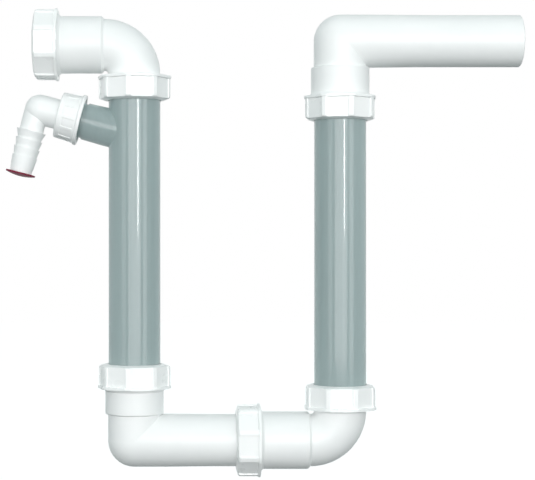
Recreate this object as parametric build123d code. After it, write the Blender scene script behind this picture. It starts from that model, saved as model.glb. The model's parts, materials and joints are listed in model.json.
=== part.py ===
from build123d import *
import os
from math import cos, pi, radians, sin, tan

# Condensate trap: two clear tubes and four white bends joined into a U by compression
# fittings, with a barbed hose nozzle on a slanted branch of the inlet tube.
# Lengths are in millimetres and angles in degrees. X runs from the inlet towards the
# outlet, Y away from the viewer, Z up. The origin is the centre of the outlet tail's end.

# Pipes and clear tubes
pipe_od = 43.0
pipe_wall = 2.9
tube_wall = 2.0
inlet_tube_length = 276.7
outlet_tube_length = 279.8
outlet_tail_length = 149.3
crossover_tail_length = 142.5
pipe_edge = 0.8

# Mitred bends: a slightly stouter corner whose tail tapers down to a true spigot
elbow_swell = 0.8
elbow_land = 25.0
spigot_length = 80.0

# Sockets: each depth is measured from the end of the bend, or from the pipe's stop
bend_throat = 3.5
swept_socket_wall = 1.9
square_socket_wall = 2.4
inlet_socket_reach = 50.5
crossover_socket_reach = 53.7
port_reach = 13.3
outlet_socket_depth = 33.4
lower_socket_depth = 31.0
swept_stop = 3.0
port_stop = 1.4
square_stop_step = 2.6
step_length = 2.2
socket_shoulder_round = 1.4
pip_diameter = 1.6
pip_height = 0.2
pip_from_end = 50.3
pip_angle = 14.0

# Threaded collar at each mouth, and the flared seat inside it
collar_wall = 3.2
runout_rise = 0.7
collar_length = 12.0
runout_length = 2.6
runout_land = 0.6
seat_depth = 4.5
seat_flare = 2.2
mouth_edge = 0.5

# Compression nut
nut_flats = 8
nut_side_wall = 2.15
nut_length = 20.5
nut_wall = 3.3
nut_round = 3.5
nut_crown = 3.0
flange_lip = 1.1
flange_corner_lip = 0.25
flange_thickness = 2.6
flange_edge = 0.6
grip_depth = 0.55
corner_strip = 1.7

# Slip ring and tapered seal
ring_thickness = 2.1
seal_lip = 3.4
seal_head = 2.4
seal_overhang = 0.5

# Slanted branch of the inlet tube, its reach measured out from the tube's wall
branch_tilt = 14.5
branch_drop = 47.3
branch_bore = 26.0
branch_root_wall = 3.0
branch_end_wall = 2.35
branch_collar_wall = 4.3
branch_neck_wall = 1.3
branch_reach = 33.5
branch_collar_length = 9.0
branch_neck_length = 3.6

# Union nut and washer on the branch
union_length = 19.8
union_wall = 3.8
union_face_wall = 1.1
union_base_wall = 2.2
union_lip = 1.1
union_lip_length = 2.2
union_edge = 1.0
union_grips = 12
union_grip_angle = 23.0
union_grip_turn = 10.6
union_grip_depth = 0.5
union_grip_start = 4.6
union_grip_length = 10.4
washer_thickness = 2.6
washer_step = 0.7

# Elbow nozzle, its barbs measured from the corner of its two axes
nozzle_flange_thickness = 2.9
nozzle_arm_bore = 18.6
nozzle_arm_wall = 3.2
nozzle_arm_length = 22.6
nozzle_tail_bore = 13.0
nozzle_tail_length = 55.2
nozzle_stem_wall = 3.6
nozzle_tip_wall = 2.45
barb_root_wall = 3.2
first_barb = 19.0
barb_pitch = 7.23
barb_heights = [2.6, 1.6, 1.2, 0.9]

# Red blanking cap of the nozzle
cap_overhang = 3.45
cap_thickness = 2.2
cap_dish = 1.0
cap_rim = 1.3
plug_length = 8.0

# Clearances
socket_gap = 0.3
end_gap = 0.5
seal_gap = 0.15
seat_gap = 0.2
stack_gap = 0.3
nut_gap = 0.6
thread_gap = 0.35
ring_gap = 0.75
face_gap = 0.3
union_thread_gap = 0.6
washer_gap = 1.3
plug_gap = 0.3

# Turn of each nut about its own axis, so that its flats lie as tightened
inlet_nut_turn = 0.0
inlet_top_turn = -13.5
inlet_bottom_turn = 13.2
crossover_turn = -3.5
outlet_bottom_turn = -2.7
outlet_top_turn = 10.0

# Radii and diameters of the pipes, sockets and collars
pipe_radius = pipe_od / 2
pipe_bore = pipe_od - 2 * pipe_wall
tube_bore = pipe_od - 2 * tube_wall
elbow_od = pipe_od + elbow_swell
elbow_radius = elbow_od / 2
bend_radius = pipe_radius + bend_throat
square_stop = elbow_radius + square_stop_step
outlet_socket_reach = square_stop + outlet_socket_depth
lower_socket_reach = square_stop + lower_socket_depth
socket_bore = pipe_od + 2 * socket_gap
swept_socket_od = socket_bore + 2 * swept_socket_wall
square_socket_od = socket_bore + 2 * square_socket_wall
seat_mouth_diameter = socket_bore + 2 * seat_flare
collar_od = socket_bore + 2 * collar_wall
runout_od = collar_od + 2 * runout_rise

# Nut, slip ring and seal, stacked out from the mouth
nut_bore = runout_od + 2 * thread_gap
nut_across_flats = nut_bore + 2 * nut_side_wall
nut_across_corners = nut_across_flats / cos(pi / nut_flats)
nut_hole = pipe_od + 2 * nut_gap
flange_across_flats = nut_across_flats + 2 * flange_lip
flange_across_corners = nut_across_corners + 2 * flange_corner_lip
ring_od = nut_bore - 2 * ring_gap
seal_head_od = seat_mouth_diameter + 2 * seal_overhang
seal_to_ring = seal_head + stack_gap
ring_to_nut = seal_to_ring + ring_thickness + stack_gap
nut_end = ring_to_nut + nut_wall
nut_base = nut_end - nut_length

# Branch, washer, union nut and nozzle, stacked out from the tube
branch_root_od = branch_bore + 2 * branch_root_wall
branch_end_od = branch_bore + 2 * branch_end_wall
branch_neck_od = branch_bore + 2 * branch_neck_wall
branch_collar_od = branch_bore + 2 * branch_collar_wall
branch_length = pipe_radius + branch_reach
branch_wall_start = branch_length - branch_collar_length
union_bore = branch_collar_od + 2 * union_thread_gap
union_face_od = union_bore + 2 * union_face_wall
union_base_od = union_bore + 2 * union_base_wall
union_lip_od = union_base_od + 2 * union_lip
washer_od = union_bore - 2 * washer_gap
washer_bore = nozzle_arm_bore + 2 * washer_step
washer_start = branch_length + face_gap
flange_start = washer_start + washer_thickness + face_gap
union_seat = flange_start + nozzle_flange_thickness + face_gap
union_end = union_seat + union_wall
union_base = union_end - union_length
nozzle_arm_od = nozzle_arm_bore + 2 * nozzle_arm_wall
nozzle_stem_od = nozzle_tail_bore + 2 * nozzle_stem_wall
nozzle_tip_od = nozzle_tail_bore + 2 * nozzle_tip_wall
barb_root_od = nozzle_tail_bore + 2 * barb_root_wall
corner_out = flange_start + nozzle_flange_thickness + nozzle_arm_length
cap_od = nozzle_tip_od + 2 * cap_overhang
plug_od = nozzle_tail_bore - 2 * plug_gap

# Axes of the legs and of the horizontal runs
outlet_x = -outlet_tail_length
outlet_tube_top = -square_stop - end_gap
outlet_tube_bottom = outlet_tube_top - outlet_tube_length
crossover_z = outlet_tube_bottom - end_gap - port_stop - bend_radius
inlet_x = outlet_x - bend_radius - swept_stop - end_gap - crossover_tail_length
inlet_tube_bottom = crossover_z + square_stop + end_gap
inlet_tube_top = inlet_tube_bottom + inlet_tube_length
inlet_z = inlet_tube_top + end_gap + port_stop + bend_radius
branch_z = inlet_tube_top - branch_drop


def turned(points, rounds=()):
    """A solid of revolution about Z from a closed outline of (radius, height) points.

    Each entry of rounds is a corner of the outline and the radius that rounds it.
    """
    outline = make_face(Polyline(*points, close=True))
    for corner, radius in rounds:
        nearest = outline.vertices().sort_by_distance((*corner, 0))[0]
        outline = fillet(nearest, radius)
    return revolve(Plane.XZ * outline, Axis.Z)


def rod(diameter, low, high):
    """A round bar along Z from one height to another."""
    return Pos(0, 0, low) * extrude(Circle(diameter / 2), high - low)


def ball_ended(outline):
    """Half a ball about the origin that runs on along Z in an outline of (radius, height)."""
    radius = outline[0][0]
    arc = CenterArc((0, 0), radius, -90, 90)
    side = Polyline((radius, 0), *outline, (0, -radius))
    return revolve(Plane.XZ * make_face([arc, *side.edges()]), Axis.Z)


def round_leg(diameter, length):
    """A plain round bar along Z that starts with half a ball."""
    return ball_ended([(diameter / 2, length), (0, length)])


def socket(reach, start, back_od):
    """Outside of a socket along +Z: a plain barrel, a thread run-out and a collar."""
    land = reach - collar_length
    barrel = back_od / 2
    crest = runout_od / 2
    root = collar_od / 2
    profile = [
        (0, start),
        (barrel, start),
        (barrel, land - runout_length),
        (crest, land - runout_land / 2),
        (crest, land + runout_land / 2),
        (root, land + runout_land),
        (root, reach - mouth_edge),
        (root - mouth_edge, reach),
        (0, reach),
    ]
    return profile


def socket_room(reach, stop):
    """Inside of a socket along +Z: the pipe's bore and the tapered seat of the seal."""
    bore = socket_bore / 2
    seat = seat_mouth_diameter / 2
    profile = [(0, stop), (bore, stop), (bore, reach - seat_depth), (seat, reach), (0, reach)]
    return turned(profile)


def swept_run(diameter):
    """Quarter ring from the port on +Z to the socket on -X, about the bend's centre."""
    section = Pos(0, 0, bend_radius) * Circle(diameter / 2)
    centre = Axis((-bend_radius, 0, bend_radius), (0, 1, 0))
    return revolve(section, centre, 90)


def port_outline():
    """Outside of the short port: a steep flare that carries the threaded collar."""
    mouth = bend_radius + port_reach
    land = mouth - collar_length
    return [
        (0, bend_radius),
        (pipe_radius, bend_radius),
        (runout_od / 2, land - runout_land / 2),
        (runout_od / 2, land + runout_land / 2),
        (collar_od / 2, land + runout_land),
        (collar_od / 2, mouth - mouth_edge),
        (collar_od / 2 - mouth_edge, mouth),
        (0, mouth),
    ]


def swept_bend(socket_reach):
    """Bend with a swept quarter turn, a short port on +Z and a long socket on -X."""
    to_socket = Rot(0, -90, 0)
    mouth = bend_radius + socket_reach
    barrel = socket(mouth, bend_radius + step_length, swept_socket_od)
    step = [(0, bend_radius), (pipe_radius, bend_radius)] + barrel[1:]
    outside = swept_run(pipe_od) + turned(port_outline()) + to_socket * turned(step)
    room = swept_run(pipe_bore)
    room += rod(pipe_bore, bend_radius, bend_radius + port_reach)
    room += to_socket * rod(pipe_bore, bend_radius, mouth)
    room += socket_room(bend_radius + port_reach, bend_radius + port_stop)
    room += to_socket * socket_room(mouth, bend_radius + swept_stop)
    return outside - room


def mitred(upright, level):
    """Two legs, one up +Z and one along +X, that meet in a mitre on a shared ball."""
    mitre = Plane((0, 0, 0), x_dir=(0, 1, 0), z_dir=(-1, 0, 1))
    return split(upright, mitre, Keep.TOP) + split(Rot(0, 90, 0) * level, mitre, Keep.BOTTOM)


def tail(length):
    """Outside of a mitred bend's tail along +Z, which tapers down to its spigot."""
    return ball_ended(
        [
            (elbow_radius, elbow_land),
            (pipe_radius, length - spigot_length),
            (pipe_radius, length - pipe_edge),
            (pipe_radius - pipe_edge, length),
            (0, length),
        ]
    )


def square_bend(socket_reach, tail_length):
    """Bend with a tight mitred corner, a socket on +Z and a long plain tail on +X."""
    barrel = socket(socket_reach, elbow_radius, square_socket_od)
    shoulder = (square_socket_od / 2, elbow_radius)
    outside = mitred(round_leg(elbow_od, square_stop), tail(tail_length))
    outside += turned(barrel, [(shoulder, socket_shoulder_round)])
    room = mitred(round_leg(pipe_bore, socket_reach), round_leg(pipe_bore, tail_length))
    room += socket_room(socket_reach, square_stop)
    return outside - room


def moulding_pip():
    """Small round gate mark on the front of the outlet tail, above its middle."""
    pip = Rot(90, 0, 0) * rod(pip_diameter, pipe_radius - pip_height, pipe_radius + pip_height)
    return Pos(-pip_from_end, 0, 0) * Rot(-pip_angle, 0, 0) * pip


def many_flats(across, low, high):
    """Upright prism with the nut's number of flats, one of them facing +X."""
    outline = RegularPolygon(across / 2, nut_flats, major_radius=False, rotation=180 / nut_flats)
    return Pos(0, 0, low) * extrude(outline, high - low)


def nut_drum():
    """Drum whose closed end falls away from the pipe in a cone with a rounded shoulder."""
    shoulder = (nut_across_corners / 2, nut_end - nut_crown)
    hole = nut_hole / 2
    return turned(
        [(0, nut_base), (shoulder[0], nut_base), shoulder, (hole, nut_end), (0, nut_end)],
        [(shoulder, nut_round)],
    )


def nut_grips():
    """Shallow recess in each flat, which leaves a raised strip beside each corner."""
    side = nut_across_flats * tan(pi / nut_flats)
    width = side - 2 * corner_strip
    low = nut_base + flange_thickness
    tall = nut_length
    recess = Pos(nut_across_flats / 2, 0, low + tall / 2) * Box(2 * grip_depth, width, tall)
    return [Rot(0, 0, 360 / nut_flats * turn) * recess for turn in range(nut_flats)]


def nut_flange():
    """Lip round the open end that follows the flats, with its corners rounded off."""
    lip = many_flats(flange_across_flats, nut_base, nut_base + flange_thickness)
    drum = turned(
        [
            (0, nut_base),
            (flange_across_corners / 2 - flange_edge, nut_base),
            (flange_across_corners / 2, nut_base + flange_edge),
            (flange_across_corners / 2, nut_base + flange_thickness),
            (0, nut_base + flange_thickness),
        ]
    )
    return lip & drum


def compression_nut():
    """Nut on +Z from the mouth plane at zero, its closed end towards the pipe."""
    body = many_flats(nut_across_flats, nut_base, nut_end) & nut_drum()
    for recess in nut_grips():
        body -= recess
    body += nut_flange()
    body -= rod(nut_bore, nut_base, ring_to_nut)
    return body - rod(nut_hole, nut_base, nut_end)


def slip_ring():
    """Flat ring between the nut's end wall and the seal."""
    ring = rod(ring_od, seal_to_ring, seal_to_ring + ring_thickness)
    return ring - rod(pipe_od + 2 * socket_gap, seal_to_ring, seal_to_ring + ring_thickness)


def seal():
    """Rubber seal with a tapered lip in the mouth's seat and a flat head outside it."""
    slope = (seat_mouth_diameter - socket_bore) / 2 / seat_depth
    inner = pipe_radius + seal_gap
    at_mouth = seat_mouth_diameter / 2 - seat_gap
    lip = at_mouth - slope * seal_lip
    return turned(
        [
            (inner, -seal_lip),
            (lip, -seal_lip),
            (at_mouth, 0),
            (at_mouth, face_gap),
            (seal_head_od / 2, face_gap),
            (seal_head_od / 2, seal_head),
            (inner, seal_head),
        ]
    )


def clear_tube(low, high):
    """Plain clear tube along Z between two heights."""
    return rod(pipe_od, low, high) - rod(tube_bore, low, high)


def branch_frame():
    """Frame on the inlet tube's axis: Z out along the branch, X along the nozzle's tail."""
    tilt = radians(branch_tilt)
    return Plane(
        (inlet_x, 0, branch_z),
        x_dir=(-sin(tilt), 0, -cos(tilt)),
        z_dir=(-cos(tilt), 0, sin(tilt)),
    )


def branch():
    """Outside of the branch: a tapered root, a narrow neck and a threaded collar."""
    neck_start = branch_wall_start - branch_neck_length
    return turned(
        [
            (0, 0),
            (branch_root_od / 2, 0),
            (branch_root_od / 2, pipe_radius),
            (branch_end_od / 2, neck_start),
            (branch_neck_od / 2, neck_start),
            (branch_neck_od / 2, branch_wall_start),
            (branch_collar_od / 2, branch_wall_start),
            (branch_collar_od / 2, branch_length - mouth_edge),
            (branch_collar_od / 2 - mouth_edge, branch_length),
            (0, branch_length),
        ]
    )


def branched_tube():
    """Inlet tube in one piece with its slanted branch."""
    wall = Pos(inlet_x, 0, 0) * rod(pipe_od, inlet_tube_bottom, inlet_tube_top)
    wall += branch_frame().location * branch()
    wall -= Pos(inlet_x, 0, 0) * rod(tube_bore, inlet_tube_bottom, inlet_tube_top)
    return wall - branch_frame().location * rod(branch_bore, 0, branch_length)


def washer():
    """Flat rubber washer between the end of the branch and the nozzle's flange."""
    washer_end = washer_start + washer_thickness
    return rod(washer_od, washer_start, washer_end) - rod(washer_bore, washer_start, washer_end)


def union_nut():
    """Round nut with a base lip and shallow grip recesses spaced round it."""
    lip_top = union_base + union_lip_length
    outline = [
        (0, union_base),
        (union_lip_od / 2, union_base),
        (union_lip_od / 2, lip_top),
        (union_base_od / 2, lip_top),
        (union_face_od / 2, union_end),
        (0, union_end),
    ]
    body = turned(outline, [((union_face_od / 2, union_end), union_edge)])
    middle = union_end - union_grip_start - union_grip_length / 2
    share = (union_end - middle) / (union_end - lip_top)
    surface = union_face_od / 2 + (union_base_od - union_face_od) / 2 * share
    width = 2 * surface * sin(radians(union_grip_angle / 2))
    recess = Pos(surface, 0, middle) * Box(2 * union_grip_depth, width, union_grip_length)
    for turn in range(union_grips):
        body -= Rot(0, 0, 360 / union_grips * turn + union_grip_turn) * recess
    body -= rod(union_bore, union_base, union_seat)
    return body - rod(nozzle_arm_od + 2 * face_gap, union_base, union_end)


def barbed_tail():
    """Outside of the nozzle's tail along +Z, each barb steep above and tapered below."""
    stem = nozzle_stem_od / 2
    outline = [(0, 0), (stem, 0), (stem, first_barb)]
    root = barb_root_od / 2
    for number, height in enumerate(barb_heights):
        crest = first_barb + barb_pitch * number
        outline.append((root + height, crest))
        if number < len(barb_heights) - 1:
            outline.append((root, crest + barb_pitch))
    outline += [(nozzle_tip_od / 2, nozzle_tail_length), (0, nozzle_tail_length)]
    return turned(outline)


def nozzle():
    """Elbow nozzle: a flanged arm, a rounded corner and the barbed tail on +X."""
    to_tail = Pos(0, 0, corner_out) * Rot(0, 90, 0)
    ball_out = corner_out - (nozzle_arm_od - nozzle_stem_od) / 2
    to_arm = Pos(0, 0, ball_out) * Rot(180, 0, 0)
    arm_length = ball_out - flange_start
    outside = rod(washer_od, flange_start, flange_start + nozzle_flange_thickness)
    outside += to_arm * round_leg(nozzle_arm_od, arm_length)
    outside += to_tail * barbed_tail()
    room = to_arm * round_leg(nozzle_arm_bore, arm_length)
    room += to_tail * rod(nozzle_tail_bore, 0, nozzle_tail_length)
    return outside - room


def blanking_cap():
    """Dished disc along +Z over the nozzle's tip, with a plug that fits its bore."""
    rim = cap_od / 2
    face = nozzle_tail_length + face_gap
    back = face + cap_thickness
    rim_top = face - cap_dish
    rim_back = rim_top + cap_rim
    seat = nozzle_tip_od / 2 + plug_gap
    plug = Polyline(
        (0, back),
        (0, face - plug_length),
        (plug_od / 2, face - plug_length),
        (plug_od / 2, face),
        (seat, face),
    )
    hollow = TangentArc((seat, face), (rim, rim_top), tangent=(1, 0))
    edge = Line((rim, rim_top), (rim, rim_back))
    dome = TangentArc((0, back), (rim, rim_back), tangent=(1, 0))
    return revolve(Plane.XZ * make_face([*plug.edges(), hollow, edge, dome]), Axis.Z)


def place(x, z, direction, turn=0):
    """Location of a fitting's mouth, its Z along direction and turned about it."""
    return Plane((x, 0, z), x_dir=(0, -1, 0), z_dir=direction).location * Rot(0, 0, turn)


up = (0, 0, 1)
down = (0, 0, -1)
left = (-1, 0, 0)

mouths = {
    "inlet": (inlet_x - bend_radius - inlet_socket_reach, inlet_z, left, inlet_nut_turn),
    "inlet_tube_top": (inlet_x, inlet_z - bend_radius - port_reach, down, inlet_top_turn),
    "inlet_tube_bottom": (inlet_x, crossover_z + lower_socket_reach, up, inlet_bottom_turn),
    "crossover": (outlet_x - bend_radius - crossover_socket_reach, crossover_z, left, crossover_turn),
    "outlet_tube_bottom": (outlet_x, crossover_z + bend_radius + port_reach, up, outlet_bottom_turn),
    "outlet_tube_top": (outlet_x, -outlet_socket_reach, down, outlet_top_turn),
}

# Upside-down copies of the bends hang their socket or port below the run
inverted = Rot(180, 0, 0)

parts = {
    "inlet_bend": Pos(inlet_x, 0, inlet_z) * inverted * swept_bend(inlet_socket_reach),
    "lower_outlet_bend": Pos(outlet_x, 0, crossover_z) * swept_bend(crossover_socket_reach),
    "lower_inlet_bend": Pos(inlet_x, 0, crossover_z) * square_bend(lower_socket_reach, crossover_tail_length),
    "outlet_bend": Pos(outlet_x, 0, 0) * inverted * square_bend(outlet_socket_reach, outlet_tail_length)
    + moulding_pip(),
    "inlet_tube": branched_tube(),
    "outlet_tube": Pos(outlet_x, 0, 0) * clear_tube(outlet_tube_bottom, outlet_tube_top),
}

for joint, (x, z, direction, turn) in mouths.items():
    parts[joint + "_nut"] = place(x, z, direction, turn) * compression_nut()
    parts[joint + "_slip_ring"] = place(x, z, direction) * slip_ring()
    parts[joint + "_seal"] = place(x, z, direction) * seal()

outward = branch_frame().location
parts["branch_washer"] = outward * washer()
parts["branch_nut"] = outward * union_nut()
parts["branch_nozzle"] = outward * nozzle()
parts["nozzle_cap"] = outward * Pos(0, 0, corner_out) * Rot(0, 90, 0) * blanking_cap()

os.makedirs("parts", exist_ok=True)
for name, shape in parts.items():
    export_step(shape, f"parts/{name}.step")
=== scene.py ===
import json
import math

import bpy
from mathutils import Matrix, Vector


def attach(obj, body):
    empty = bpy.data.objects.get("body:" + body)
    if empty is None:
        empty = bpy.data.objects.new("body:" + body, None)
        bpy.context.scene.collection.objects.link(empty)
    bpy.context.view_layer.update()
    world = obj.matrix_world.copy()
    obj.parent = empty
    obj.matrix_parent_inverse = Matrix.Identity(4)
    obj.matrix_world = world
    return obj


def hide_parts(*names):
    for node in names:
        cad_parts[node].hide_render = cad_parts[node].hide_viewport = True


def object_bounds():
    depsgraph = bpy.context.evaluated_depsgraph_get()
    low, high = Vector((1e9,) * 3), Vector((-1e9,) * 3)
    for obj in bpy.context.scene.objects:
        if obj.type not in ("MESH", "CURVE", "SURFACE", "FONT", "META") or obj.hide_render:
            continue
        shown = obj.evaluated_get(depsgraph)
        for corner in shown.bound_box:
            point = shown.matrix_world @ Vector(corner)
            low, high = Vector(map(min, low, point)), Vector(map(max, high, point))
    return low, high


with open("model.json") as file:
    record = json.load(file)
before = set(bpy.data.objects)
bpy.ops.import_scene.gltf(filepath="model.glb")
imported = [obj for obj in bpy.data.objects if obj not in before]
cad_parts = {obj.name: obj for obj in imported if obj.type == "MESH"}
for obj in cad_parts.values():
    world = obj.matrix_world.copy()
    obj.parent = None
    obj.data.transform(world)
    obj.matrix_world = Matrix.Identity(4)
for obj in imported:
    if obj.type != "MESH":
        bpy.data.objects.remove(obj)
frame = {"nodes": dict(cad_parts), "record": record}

cadLow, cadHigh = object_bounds()
mm = 0.001
weldDistance = 0.001 * mm
slack = 0.01                      # for comparing heights in mm and directions
smoothAngle = math.radians(32)
noiseLow, noiseHigh = 0.3, 0.7    # the band in which a noise texture mostly lies
roundShare = 0.3                  # how far in from its corner the middle point of a quarter round lies
print("frame loaded:", len(frame["nodes"]), "nodes")


# Shared shader groups: each puts out values only, the shaders stay in the materials

def newGroup(name, inputs, outputs):
    group = bpy.data.node_groups.new(name, "ShaderNodeTree")
    for label, kind, value in inputs:
        socket = group.interface.new_socket(name=label, in_out="INPUT", socket_type=kind)
        socket.default_value = value
    for label, kind in outputs:
        group.interface.new_socket(name=label, in_out="OUTPUT", socket_type=kind)
    start = group.nodes.new("NodeGroupInput")
    end = group.nodes.new("NodeGroupOutput")
    start.location, end.location = (-900, 0), (600, 0)
    return group, start, end


def addNode(tree, kind, place, **settings):
    node = tree.nodes.new(kind)
    node.location = place
    for key, value in settings.items():
        setattr(node, key, value)
    return node


def mouldedSkin():
    # Flow clouds, faint ripples and fine grain of an injection moulding
    group, start, end = newGroup(
        "mouldedSkin",
        [("Vector", "NodeSocketVector", (0, 0, 0)), ("Cloud Size", "NodeSocketFloat", 30.0),
         ("Ripple Size", "NodeSocketFloat", 90.0), ("Grain Size", "NodeSocketFloat", 1800.0),
         ("Grain Share", "NodeSocketFloat", 0.15)],
        [("Clouds", "NodeSocketFloat"), ("Height", "NodeSocketFloat")])
    clouds = addNode(group, "ShaderNodeTexNoise", (-600, 200))
    ripples = addNode(group, "ShaderNodeTexNoise", (-600, 0))
    grain = addNode(group, "ShaderNodeTexNoise", (-600, -200))
    layers = ((clouds, "Cloud Size", 4), (ripples, "Ripple Size", 2), (grain, "Grain Size", 1))
    for noise, size, detail in layers:
        noise.inputs["Detail"].default_value = detail
        group.links.new(start.outputs["Vector"], noise.inputs["Vector"])
        group.links.new(start.outputs[size], noise.inputs["Scale"])
    blend = addNode(group, "ShaderNodeMix", (-200, -100))
    group.links.new(start.outputs["Grain Share"], blend.inputs["Factor"])
    group.links.new(ripples.outputs["Fac"], blend.inputs["A"])
    group.links.new(grain.outputs["Fac"], blend.inputs["B"])
    group.links.new(clouds.outputs["Fac"], end.inputs["Clouds"])
    group.links.new(blend.outputs["Result"], end.inputs["Height"])
    return group


def rangeNode(tree, source, low, high, place):
    node = addNode(tree, "ShaderNodeMapRange", place)
    values = {"From Min": noiseLow, "From Max": noiseHigh, "To Min": low, "To Max": high}
    for label, value in values.items():
        node.inputs[label].default_value = value
    tree.links.new(source, node.inputs["Value"])
    return node.outputs["Result"]


def blankMaterial(name):
    material = bpy.data.materials.new(name)
    material.use_nodes = True
    return material, material.node_tree, material.node_tree.nodes["Principled BSDF"]


def detailNode(tree, group, look, labels):
    # The shared group, laid out by the object's own coordinates and sized by the look
    place = addNode(tree, "ShaderNodeTexCoord", (-1200, 0))
    detail = addNode(tree, "ShaderNodeGroup", (-900, 0))
    detail.node_tree = group
    for label in labels:
        detail.inputs[label].default_value = look[label]
    tree.links.new(place.outputs["Object"], detail.inputs["Vector"])
    return detail


def tintAndGloss(tree, shader, source, look):
    # Colour and roughness both follow the source; the colour is put out for the material to use
    tint = addNode(tree, "ShaderNodeMix", (-400, 200), data_type="RGBA")
    tint.inputs["A"].default_value = (*look["shade"], 1)
    tint.inputs["B"].default_value = (*look["colour"], 1)
    tree.links.new(rangeNode(tree, source, 0, 1, (-600, 200)), tint.inputs["Factor"])
    rough = rangeNode(tree, source, *look["roughness"], (-600, -50))
    tree.links.new(rough, shader.inputs["Roughness"])
    shader.inputs["IOR"].default_value = look["ior"]
    shader.inputs["Specular IOR Level"].default_value = look["gloss"]
    return tint.outputs["Result"]


def drawnLines():
    # Fine lines along Z, as an extruded tube has: the noise is drawn out by the small scale
    lengthwise = 0.012
    group, start, end = newGroup(
        "drawnLines",
        [("Vector", "NodeSocketVector", (0, 0, 0)), ("Line Size", "NodeSocketFloat", 500.0)],
        [("Lines", "NodeSocketFloat")])
    stretch = addNode(group, "ShaderNodeMapping", (-600, 0))
    stretch.inputs["Scale"].default_value = (1, 1, lengthwise)
    noise = addNode(group, "ShaderNodeTexNoise", (-300, 0))
    noise.inputs["Detail"].default_value = 3
    group.links.new(start.outputs["Vector"], stretch.inputs["Vector"])
    group.links.new(stretch.outputs["Vector"], noise.inputs["Vector"])
    group.links.new(start.outputs["Line Size"], noise.inputs["Scale"])
    group.links.new(noise.outputs["Fac"], end.inputs["Lines"])
    return group


def tubeMaterial(name, look, lines):
    # Smoky clear tube: part of the light passes, the rest shows the grey of the plastic
    material, tree, shader = blankMaterial(name)
    detail = detailNode(tree, lines, look, ("Line Size",))
    colour = tintAndGloss(tree, shader, detail.outputs["Lines"], look)
    # Seen edge on, the wall is thicker; the paler colour there is painted light, standing in for light
    # passing through the wall
    facing = addNode(tree, "ShaderNodeLayerWeight", (-600, 450))
    facing.inputs["Blend"].default_value = look["paintedEdgeBlend"]
    paintedEdgeLight = addNode(tree, "ShaderNodeMix", (-200, 300), data_type="RGBA")
    paintedEdgeLight.inputs["B"].default_value = (*look["edge"], 1)
    tree.links.new(facing.outputs["Facing"], paintedEdgeLight.inputs["Factor"])
    tree.links.new(colour, paintedEdgeLight.inputs["A"])
    tree.links.new(paintedEdgeLight.outputs["Result"], shader.inputs["Base Color"])
    shader.inputs["Transmission Weight"].default_value = look["transmission"]
    shader.inputs["Coat Weight"].default_value = look["coat"]
    shader.inputs["Coat Roughness"].default_value = look["coatRoughness"]
    return material


def plasticMaterial(name, look, skin):
    material, tree, shader = blankMaterial(name)
    detail = detailNode(tree, skin, look, ("Cloud Size", "Ripple Size", "Grain Size", "Grain Share"))
    colour = tintAndGloss(tree, shader, detail.outputs["Clouds"], look)
    tree.links.new(colour, shader.inputs["Base Color"])
    bump = addNode(tree, "ShaderNodeBump", (-400, -300))
    bump.inputs["Strength"].default_value = look["bump"]
    bump.inputs["Distance"].default_value = look["bumpDepth"] * mm
    tree.links.new(detail.outputs["Height"], bump.inputs["Height"])
    tree.links.new(bump.outputs["Normal"], shader.inputs["Normal"])
    return material


whiteLook = {
    "colour": (0.87, 0.885, 0.88), "shade": (0.835, 0.855, 0.85), "roughness": (0.34, 0.42),
    "ior": 1.5, "gloss": 0.3, "bump": 0.25, "bumpDepth": 0.05,
    "Cloud Size": 25.0, "Ripple Size": 90.0, "Grain Size": 2200.0, "Grain Share": 0.12,
}
# The nuts' lighter copy of the white plastic is painted light: it brightens them to make up for the
# shade on their angled flats
nutLookPaintedLight = dict(whiteLook, colour=(0.905, 0.92, 0.915), shade=(0.88, 0.9, 0.895),
               roughness=(0.26, 0.34), gloss=0.4)
ringLook = dict(whiteLook, colour=(0.78, 0.8, 0.8), shade=(0.72, 0.75, 0.75), roughness=(0.4, 0.5))
rubberLook = dict(whiteLook, colour=(0.6, 0.64, 0.64), shade=(0.52, 0.56, 0.56),
                  roughness=(0.5, 0.7), bump=0.4)
redLook = dict(whiteLook, colour=(0.235, 0.012, 0.045), shade=(0.17, 0.008, 0.03),
               roughness=(0.42, 0.55), gloss=0.12)
# The edge colour is painted light: the paler tone the tube is given where it is seen edge on
clearLook = {
    "colour": (0.405, 0.5, 0.5), "shade": (0.37, 0.465, 0.465), "roughness": (0.4, 0.44),
    "edge": (0.66, 0.8, 0.8), "paintedEdgeBlend": 0.4, "transmission": 0.4, "ior": 1.35, "gloss": 0.12,
    "coat": 0.5, "coatRoughness": 0.07, "Line Size": 420.0,
}

skinGroup = mouldedSkin()
materials = {
    "white_plastic": plasticMaterial("bendWhite", whiteLook, skinGroup),
    "nut_plastic": plasticMaterial("nutWhitePaintedLight", nutLookPaintedLight, skinGroup),
    "ring_plastic": plasticMaterial("slipRing", ringLook, skinGroup),
    "seal_rubber": plasticMaterial("sealRubber", rubberLook, skinGroup),
    "red_plastic": plasticMaterial("capRed", redLook, skinGroup),
    "clear_plastic": tubeMaterial("clearTube", clearLook, drawnLines()),
}
for subpart in frame["record"]["subparts"]:
    node = frame["nodes"][subpart["node"]]
    node.data.materials.clear()
    node.data.materials.append(materials[subpart["material_slot"]])
print("materials on", len(frame["nodes"]), "nodes")


# Modelling helpers: everything is drawn in millimetres about the Z axis of its own fitting

def addPrimitive(kind, name, **settings):
    bpy.ops.object.select_all(action="DESELECT")
    getattr(bpy.ops.mesh, "primitive_" + kind + "_add")(**settings)
    piece = bpy.context.object
    piece.name = name
    piece.data.name = name
    return piece


def outlineRing(name, points):
    # A ring of vertices becomes the closed outline (radius, height)
    piece = addPrimitive("circle", name, vertices=len(points), radius=mm, fill_type="NOTHING")
    for vertex, (radius, height) in zip(piece.data.vertices, points):
        vertex.co = (radius * mm, 0, height * mm)
    return piece


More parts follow.
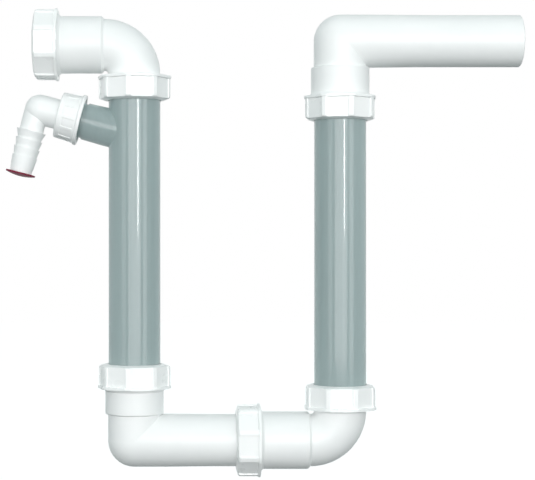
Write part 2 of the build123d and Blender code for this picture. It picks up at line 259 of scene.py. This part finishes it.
def spunOutline(name, points, steps):
    piece = outlineRing(name, points)
    bpy.ops.object.mode_set(mode="EDIT")
    bpy.ops.mesh.select_all(action="SELECT")
    bpy.ops.mesh.spin(steps=steps, angle=2 * math.pi, center=(0, 0, 0), axis=(0, 0, 1))
    bpy.ops.mesh.select_all(action="SELECT")
    bpy.ops.mesh.remove_doubles(threshold=weldDistance)
    bpy.ops.mesh.normals_make_consistent(inside=False)
    bpy.ops.object.mode_set(mode="OBJECT")
    return piece


def makeActive(piece):
    bpy.ops.object.select_all(action="DESELECT")
    piece.select_set(True)
    bpy.context.view_layer.objects.active = piece


def applyModifier(piece, kind, **settings):
    makeActive(piece)
    modifier = piece.modifiers.new(kind.title(), kind)
    for key, value in settings.items():
        setattr(modifier, key, value)
    bpy.ops.object.modifier_apply(modifier=modifier.name)


def combine(piece, other, operation):
    applyModifier(piece, "BOOLEAN", object=other, operation=operation, solver="EXACT")
    bpy.data.objects.remove(other)


def clearSelection(kind):
    bpy.ops.object.mode_set(mode="EDIT")
    bpy.ops.mesh.select_mode(type=kind)
    bpy.ops.mesh.select_all(action="DESELECT")
    bpy.ops.object.mode_set(mode="OBJECT")


def selectFaces(piece, wanted):
    # Edit mode with only the faces for which wanted(centre in mm, normal) holds
    clearSelection("FACE")
    for face in piece.data.polygons:
        face.select = wanted(face.center / mm, face.normal)
    bpy.ops.object.mode_set(mode="EDIT")


def selectEdges(piece, wanted):
    # Edit mode with only the edges for which wanted(first end in mm, second end in mm) holds
    clearSelection("EDGE")
    for edge in piece.data.edges:
        first, second = (piece.data.vertices[index].co / mm for index in edge.vertices)
        edge.select = wanted(first, second)
    bpy.ops.object.mode_set(mode="EDIT")


def softenEdges(piece, width, angle):
    applyModifier(piece, "BEVEL", width=width * mm, segments=2, limit_method="ANGLE",
                  angle_limit=math.radians(angle))
    makeActive(piece)
    bpy.ops.object.shade_smooth_by_angle(angle=smoothAngle)
    # Broad faces keep their own direction, only the rolled edges blend
    applyModifier(piece, "WEIGHTED_NORMAL", mode="FACE_AREA", keep_sharp=True)


def placeCopy(model, name, matrix, material):
    # A copy with its own mesh, moved in the mesh so that the object stays at the origin
    piece = model.copy()
    piece.data = model.data.copy()
    piece.name = name
    piece.data.name = name
    piece.data.transform(matrix)
    piece.data.materials.clear()
    piece.data.materials.append(material)
    bpy.context.collection.objects.link(piece)
    return piece


def fittingMatrix(point, out, turn, across=(0, -1, 0)):
    # Z runs out of the fitting and X towards the viewer, then the turn about the fitting's own axis
    zAxis = Vector(out).normalized()
    xAxis = Vector(across).normalized()
    yAxis = zAxis.cross(xAxis)
    frameMatrix = Matrix((xAxis, yAxis, zAxis)).transposed().to_4x4()
    place = Matrix.Translation(Vector(point) * mm)
    return place @ frameMatrix @ Matrix.Rotation(math.radians(turn), 4, "Z")


# Mouth of each compression fitting, its direction, and how far its nut is turned

mouths = {
    "inlet": {"point": (-395.8, 0, -3.1), "out": (-1, 0, 0), "turn": 0.0, "collar": "inlet_bend"},
    "inlet_tube_top": {"point": (-320.3, 0, -41.4), "out": (0, 0, -1), "turn": -13.5,
                       "collar": "inlet_bend"},
    "inlet_tube_bottom": {"point": (-320.3, 0, -276.2), "out": (0, 0, 1), "turn": 13.2,
                          "collar": "lower_inlet_bend"},
    "crossover": {"point": (-228.0, 0, -331.7), "out": (-1, 0, 0), "turn": -3.5,
                  "collar": "lower_outlet_bend"},
    "outlet_tube_bottom": {"point": (-149.3, 0, -293.4), "out": (0, 0, 1), "turn": -2.7,
                           "collar": "lower_outlet_bend"},
    "outlet_tube_top": {"point": (-149.3, 0, -57.9), "out": (0, 0, -1), "turn": 10.0,
                        "collar": "outlet_bend"},
}

nut = {
    "flats": 8, "acrossFlats": 56.4, "base": -12.1, "bodyStart": -11.1,
    "crownEdge": 7.0, "crownRise": 1.2, "crownWidth": 3.4, "shoulder": 2.3, "shoulderSteps": 4,
    "ribBevel": 1.6, "ribHalf": 2.4,
    "recessDepth": 0.9, "recessSlope": 0.8, "recessStart": -10.2, "recessEnd": 12.0,
    "bore": 26.05, "boreStart": -10.9, "boreEnd": 5.1, "boreEdge": 0.3, "hole": 22.1, "holeEdge": 0.5,
    "flange": 30.65, "flangeAcross": 58.5, "flangeThickness": 2.2, "flangeRound": 0.5,
    "steps": 96, "soften": 0.2, "softenAngle": 20,
    "spare": 2.0,    # how far the outline that cuts the body stands clear of it
}


def prism(name, flats, across, height, middle):
    # An upright prism with one of its flats towards X
    cornerRadius = across / 2 / math.cos(math.pi / flats)
    piece = addPrimitive("cylinder", name, vertices=flats, radius=cornerRadius * mm, depth=height * mm,
                         location=(0, 0, middle * mm), rotation=(0, 0, math.pi / flats))
    bpy.ops.object.transform_apply(location=True, rotation=True, scale=True)
    return piece


def nutBody(look):
    # A prism with flat ribs at the corners, a rolled shoulder and a shallow cone on top
    low, high = look["bodyStart"], look["crownEdge"]
    body = prism("nutModel", look["flats"], look["acrossFlats"], high - low, (high + low) / 2)
    selectEdges(body, lambda first, second: abs(first.z - second.z) > slack)
    bpy.ops.mesh.bevel(offset=look["ribBevel"] * mm, segments=1)
    bpy.ops.object.mode_set(mode="OBJECT")
    selectEdges(body, lambda first, second: min(first.z, second.z) > high - slack)
    bpy.ops.mesh.bevel(offset=look["shoulder"] * mm, segments=look["shoulderSteps"])
    bpy.ops.object.mode_set(mode="OBJECT")
    selectFaces(body, lambda centre, normal: normal.z > 1 - slack)
    bpy.ops.mesh.inset(thickness=look["crownWidth"] * mm)
    bpy.ops.transform.translate(value=(0, 0, look["crownRise"] * mm))
    bpy.ops.object.mode_set(mode="OBJECT")
    return body


def nutModel(look):
    body = nutBody(look)
    # Each flat is sunk between its ribs with sloped sides, out through the shoulder
    side = look["acrossFlats"] * math.tan(math.pi / look["flats"])
    width, height = side - 2 * look["ribHalf"], look["recessEnd"] - look["recessStart"]
    middle, slope = (look["recessStart"] + look["recessEnd"]) / 2, look["recessSlope"]
    distance = look["acrossFlats"] / 2 * mm
    for turn in range(look["flats"]):
        angle = 2 * math.pi * turn / look["flats"]
        sink = addPrimitive("cube", "nutRecess", size=1,
                            scale=(2 * look["recessDepth"] * mm, width * mm, height * mm))
        bpy.ops.object.transform_apply(location=True, rotation=True, scale=True)
        selectFaces(sink, lambda centre, normal: normal.x < slack - 1)
        bpy.ops.transform.resize(value=(1, 1 - 2 * slope / width, 1 - 2 * slope / height))
        bpy.ops.object.mode_set(mode="OBJECT")
        sink.rotation_euler = (0, 0, angle)
        sink.location = (distance * math.cos(angle), distance * math.sin(angle), middle * mm)
        bpy.ops.object.transform_apply(location=True, rotation=True, scale=True)
        combine(body, sink, "DIFFERENCE")
    # What is kept of it: all round the bore and the hole, whose edge is rounded in two steps
    hole, edge, top = look["hole"], look["holeEdge"], look["crownEdge"] + look["crownRise"]
    outer, upper = look["flange"] + look["spare"], top + look["spare"]
    kept = spunOutline("nutKept", [
        (look["bore"], look["boreStart"]), (outer, look["boreStart"]), (outer, upper),
        (hole + edge, upper), (hole + edge, top + edge / 10),
        (hole + roundShare * edge, top - edge / 3), (hole, top - edge),
        (hole, look["boreEnd"]), (look["bore"], look["boreEnd"])], look["steps"])
    combine(body, kept, "INTERSECT")
    # Flange round the open end: turned at the corners, flat between them
    radius, base, thickness = look["flange"], look["base"], look["flangeThickness"]
    bend, upper, inset = look["flangeRound"], base + thickness, roundShare * look["flangeRound"]
    flange = spunOutline("nutFlange", [
        (look["bore"], base + look["boreEdge"]), (look["bore"] + look["boreEdge"], base),
        (radius - bend, base), (radius - inset, base + inset), (radius, base + bend),
        (radius, upper - bend), (radius - inset, upper - inset), (radius - bend, upper),
        (look["bore"], upper)], look["steps"])
    rim = prism("nutRim", look["flats"], look["flangeAcross"], 4 * thickness, base)
    combine(flange, rim, "INTERSECT")
    combine(body, flange, "UNION")
    softenEdges(body, look["soften"], look["softenAngle"])
    return body


nutPattern = nutModel(nut)
for fitting, mouth in mouths.items():
    node = fitting + "_nut"
    matrix = fittingMatrix(mouth["point"], mouth["out"], mouth["turn"])
    piece = placeCopy(nutPattern, fitting + "_nut_moulded", matrix, materials["nut_plastic"])
    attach(piece, node)
    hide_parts(node)
bpy.data.objects.remove(nutPattern)
print("compression nuts:", len(mouths))


# Union nut of the branch, with a rolled lip and sunk grips

branch = {"point": (-320.3, 0, -77.3), "tilt": 14.5}
branchTilt = math.radians(branch["tilt"])
branchMatrix = fittingMatrix(branch["point"], (-math.cos(branchTilt), 0, math.sin(branchTilt)), 0,
                             (-math.sin(branchTilt), 0, -math.cos(branchTilt)))
unionNut = {
    "outline": [
        (17.9, 45.7), (18.2, 45.4), (20.5, 45.4), (21.0, 45.6), (21.2, 46.1), (21.2, 47.5),
        (21.0, 48.2), (20.5, 48.7), (20.1, 49.1), (20.05, 50.2), (19.3, 60.6), (19.1, 63.9),
        (18.8, 64.7), (18.1, 65.2), (13.2, 65.2), (12.8, 64.8), (12.8, 61.4), (17.9, 61.4)],
    "steps": 96, "grips": 12, "gripTurn": 10.6, "gripHalf": 11.0, "gripLow": 50.2, "gripHigh": 60.6,
    "gripRadius": 18.5, "gripSlope": 0.25, "gripDepth": 0.5,
    "soften": 0.18, "softenAngle": 24,
}


def unionNutModel(look):
    piece = spunOutline("unionNutModel", look["outline"], look["steps"])
    spacing = 360 / look["grips"]

    def inGrip(centre, normal):
        angle = math.degrees(math.atan2(centre.y, centre.x)) - look["gripTurn"]
        nearest = abs((angle + spacing / 2) % spacing - spacing / 2)
        return (nearest < look["gripHalf"] and look["gripLow"] < centre.z < look["gripHigh"]
                and centre.xy.length > look["gripRadius"])

    selectFaces(piece, inGrip)
    bpy.ops.mesh.inset(thickness=look["gripSlope"] * mm, depth=-look["gripDepth"] * mm)
    bpy.ops.object.mode_set(mode="OBJECT")
    softenEdges(piece, look["soften"], look["softenAngle"])
    return piece


unionPattern = unionNutModel(unionNut)
piece = placeCopy(unionPattern, "branch_nut_moulded", branchMatrix, materials["white_plastic"])
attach(piece, "branch_nut")
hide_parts("branch_nut")
bpy.data.objects.remove(unionPattern)
print("union nut modelled")


# Screw threads on the collars, seen when a nut is run back

collarThread = {
    "radius": 24.9, "crest": 25.6, "pitch": 4.0, "turns": 2, "start": -9.8, "width": 1.8, "steps": 64,
}
branchThread = {
    "radius": 17.2, "crest": 17.7, "pitch": 3.0, "turns": 2, "start": 47.4, "width": 1.4, "steps": 64,
}


def threadModel(name, look):
    # A ridge with a flat crest, a quarter as wide as its foot
    foot, crest = look["width"] / 2, look["width"] / 8
    outline = [(look["radius"], look["start"] - foot), (look["crest"], look["start"] - crest),
               (look["crest"], look["start"] + crest), (look["radius"], look["start"] + foot)]
    ridge = outlineRing(name, outline)
    applyModifier(ridge, "SCREW", angle=2 * math.pi, screw_offset=look["pitch"] * mm,
                  iterations=look["turns"], steps=look["steps"], render_steps=look["steps"],
                  use_merge_vertices=False)
    bpy.ops.object.mode_set(mode="EDIT")
    bpy.ops.mesh.select_mode(type="VERT")
    bpy.ops.mesh.select_all(action="SELECT")
    bpy.ops.mesh.remove_doubles(threshold=weldDistance)
    bpy.ops.mesh.fill_holes(sides=0)
    bpy.ops.mesh.normals_make_consistent(inside=False)
    bpy.ops.object.mode_set(mode="OBJECT")
    bpy.ops.object.shade_smooth_by_angle(angle=smoothAngle)
    return ridge


ridgePattern = threadModel("collarThreadModel", collarThread)
for fitting, mouth in mouths.items():
    matrix = fittingMatrix(mouth["point"], mouth["out"], 0)
    ridge = placeCopy(ridgePattern, fitting + "_collar_thread", matrix, materials["white_plastic"])
    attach(ridge, mouth["collar"])
bpy.data.objects.remove(ridgePattern)
ridgePattern = threadModel("branchThreadModel", branchThread)
ridge = placeCopy(ridgePattern, "branch_collar_thread", branchMatrix, materials["clear_plastic"])
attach(ridge, "inlet_tube")
bpy.data.objects.remove(ridgePattern)
print("threads:", len(mouths) + 1)


# Studio: white surroundings for the eye, softer light for the plastic

studio = {
    "camera": (-0.2883, -1.273, -0.1653), "lens": 103.0, "shiftX": 0.1766,
    "floorDrop": 0.09, "floorSize": 8.0, "floorTone": (0.025, 0.06, 0.06), "floorRoughness": 0.9,
    "floorGlow": 0.99, "worldLight": 0.53, "worldTint": (0.86, 1.0, 1.0), "keyTint": (1.0, 0.965, 0.97),
    "key": {"place": (-0.25, -2.1, -0.1), "width": 2.2, "height": 1.0, "power": 38.0},
    "left": {"place": (-1.7, -1.3, -0.1), "width": 0.7, "height": 0.9, "power": 5.0},
    "right": {"place": (1.25, -1.4, -0.1), "width": 0.7, "height": 0.9, "power": 8.0},
    "glint": {"place": (0.27, -2.0, 0.15), "width": 0.12, "height": 0.6, "power": 12.0},
    "back": {"place": (-0.25, 2.0, 0.0), "width": 2.2, "height": 1.0, "power": 22.0},
}


def areaLamp(name, settings, target):
    bpy.ops.object.light_add(type="AREA", location=settings["place"])
    lamp = bpy.context.object
    lamp.name = name
    lamp.data.shape = "RECTANGLE"
    lamp.data.size = settings["width"]
    lamp.data.size_y = settings["height"]
    lamp.data.energy = settings["power"]
    lamp.rotation_euler = (Vector(target) - lamp.location).to_track_quat("-Z", "Y").to_euler()


def seenWhite(tree, place):
    # 1 for rays that reach the eye direct, in gloss or through the clear tubes
    rays = addNode(tree, "ShaderNodeLightPath", place)
    total = rays.outputs["Is Camera Ray"]
    for extra in ("Is Glossy Ray", "Is Transmission Ray"):
        add = addNode(tree, "ShaderNodeMath", (place[0] + 200, place[1]), operation="MAXIMUM")
        tree.links.new(total, add.inputs[0])
        tree.links.new(rays.outputs[extra], add.inputs[1])
        total = add.outputs["Value"]
    return total


def buildStudio(settings):
    scene = bpy.context.scene
    bpy.ops.object.select_all(action="DESELECT")
    middle = (cadLow + cadHigh) / 2
    bpy.ops.object.camera_add(location=settings["camera"], rotation=(math.radians(90), 0, 0))
    camera = bpy.context.object
    camera.data.lens = settings["lens"]
    camera.data.shift_x = settings["shiftX"]
    scene.camera = camera
    for name in ("key", "left", "right", "glint", "back"):
        areaLamp(name + "Lamp", settings[name], middle)
    bpy.data.objects["keyLamp"].data.color = settings["keyTint"]
    # The glint lamp is only for the highlight on the tubes, the back lamp is not seen past the trap
    bpy.data.objects["glintLamp"].visible_diffuse = False
    for ray in ("camera", "glossy", "transmission"):
        setattr(bpy.data.objects["backLamp"], "visible_" + ray, False)
    world = bpy.data.worlds.new("studioWorld")
    world.use_nodes = True
    scene.world = world
    tree = world.node_tree
    back = tree.nodes["Background"]
    strength = addNode(tree, "ShaderNodeMix", (-200, -200))
    strength.inputs["A"].default_value = settings["worldLight"]
    strength.inputs["B"].default_value = 1.0
    tone = addNode(tree, "ShaderNodeMix", (-200, 200), data_type="RGBA")
    tone.inputs["A"].default_value = (*settings["worldTint"], 1)
    tone.inputs["B"].default_value = (1, 1, 1, 1)
    seen = seenWhite(tree, (-900, 0))
    tree.links.new(seen, strength.inputs["Factor"])
    tree.links.new(seen, tone.inputs["Factor"])
    tree.links.new(strength.outputs["Result"], back.inputs["Strength"])
    tree.links.new(tone.outputs["Result"], back.inputs["Color"])
    floorPlace = (middle.x, middle.y, cadLow.z - settings["floorDrop"])
    bpy.ops.mesh.primitive_plane_add(size=settings["floorSize"], location=floorPlace)
    floor = bpy.context.object
    floor.name = "studioFloor"
    material, floorTree, shader = blankMaterial("floorPaper")
    shader.inputs["Base Color"].default_value = (*settings["floorTone"], 1)
    shader.inputs["Roughness"].default_value = settings["floorRoughness"]
    shader.inputs["Specular IOR Level"].default_value = 0.0
    shader.inputs["Emission Color"].default_value = (1, 1, 1, 1)
    lift = addNode(floorTree, "ShaderNodeMath", (-200, -300), operation="MULTIPLY")
    lift.inputs[1].default_value = settings["floorGlow"]
    floorTree.links.new(seenWhite(floorTree, (-900, -300)), lift.inputs[0])
    floorTree.links.new(lift.outputs["Value"], shader.inputs["Emission Strength"])
    floor.data.materials.append(material)
    scene.view_settings.view_transform = "Standard"
    print("studio ready")


buildStudio(studio)
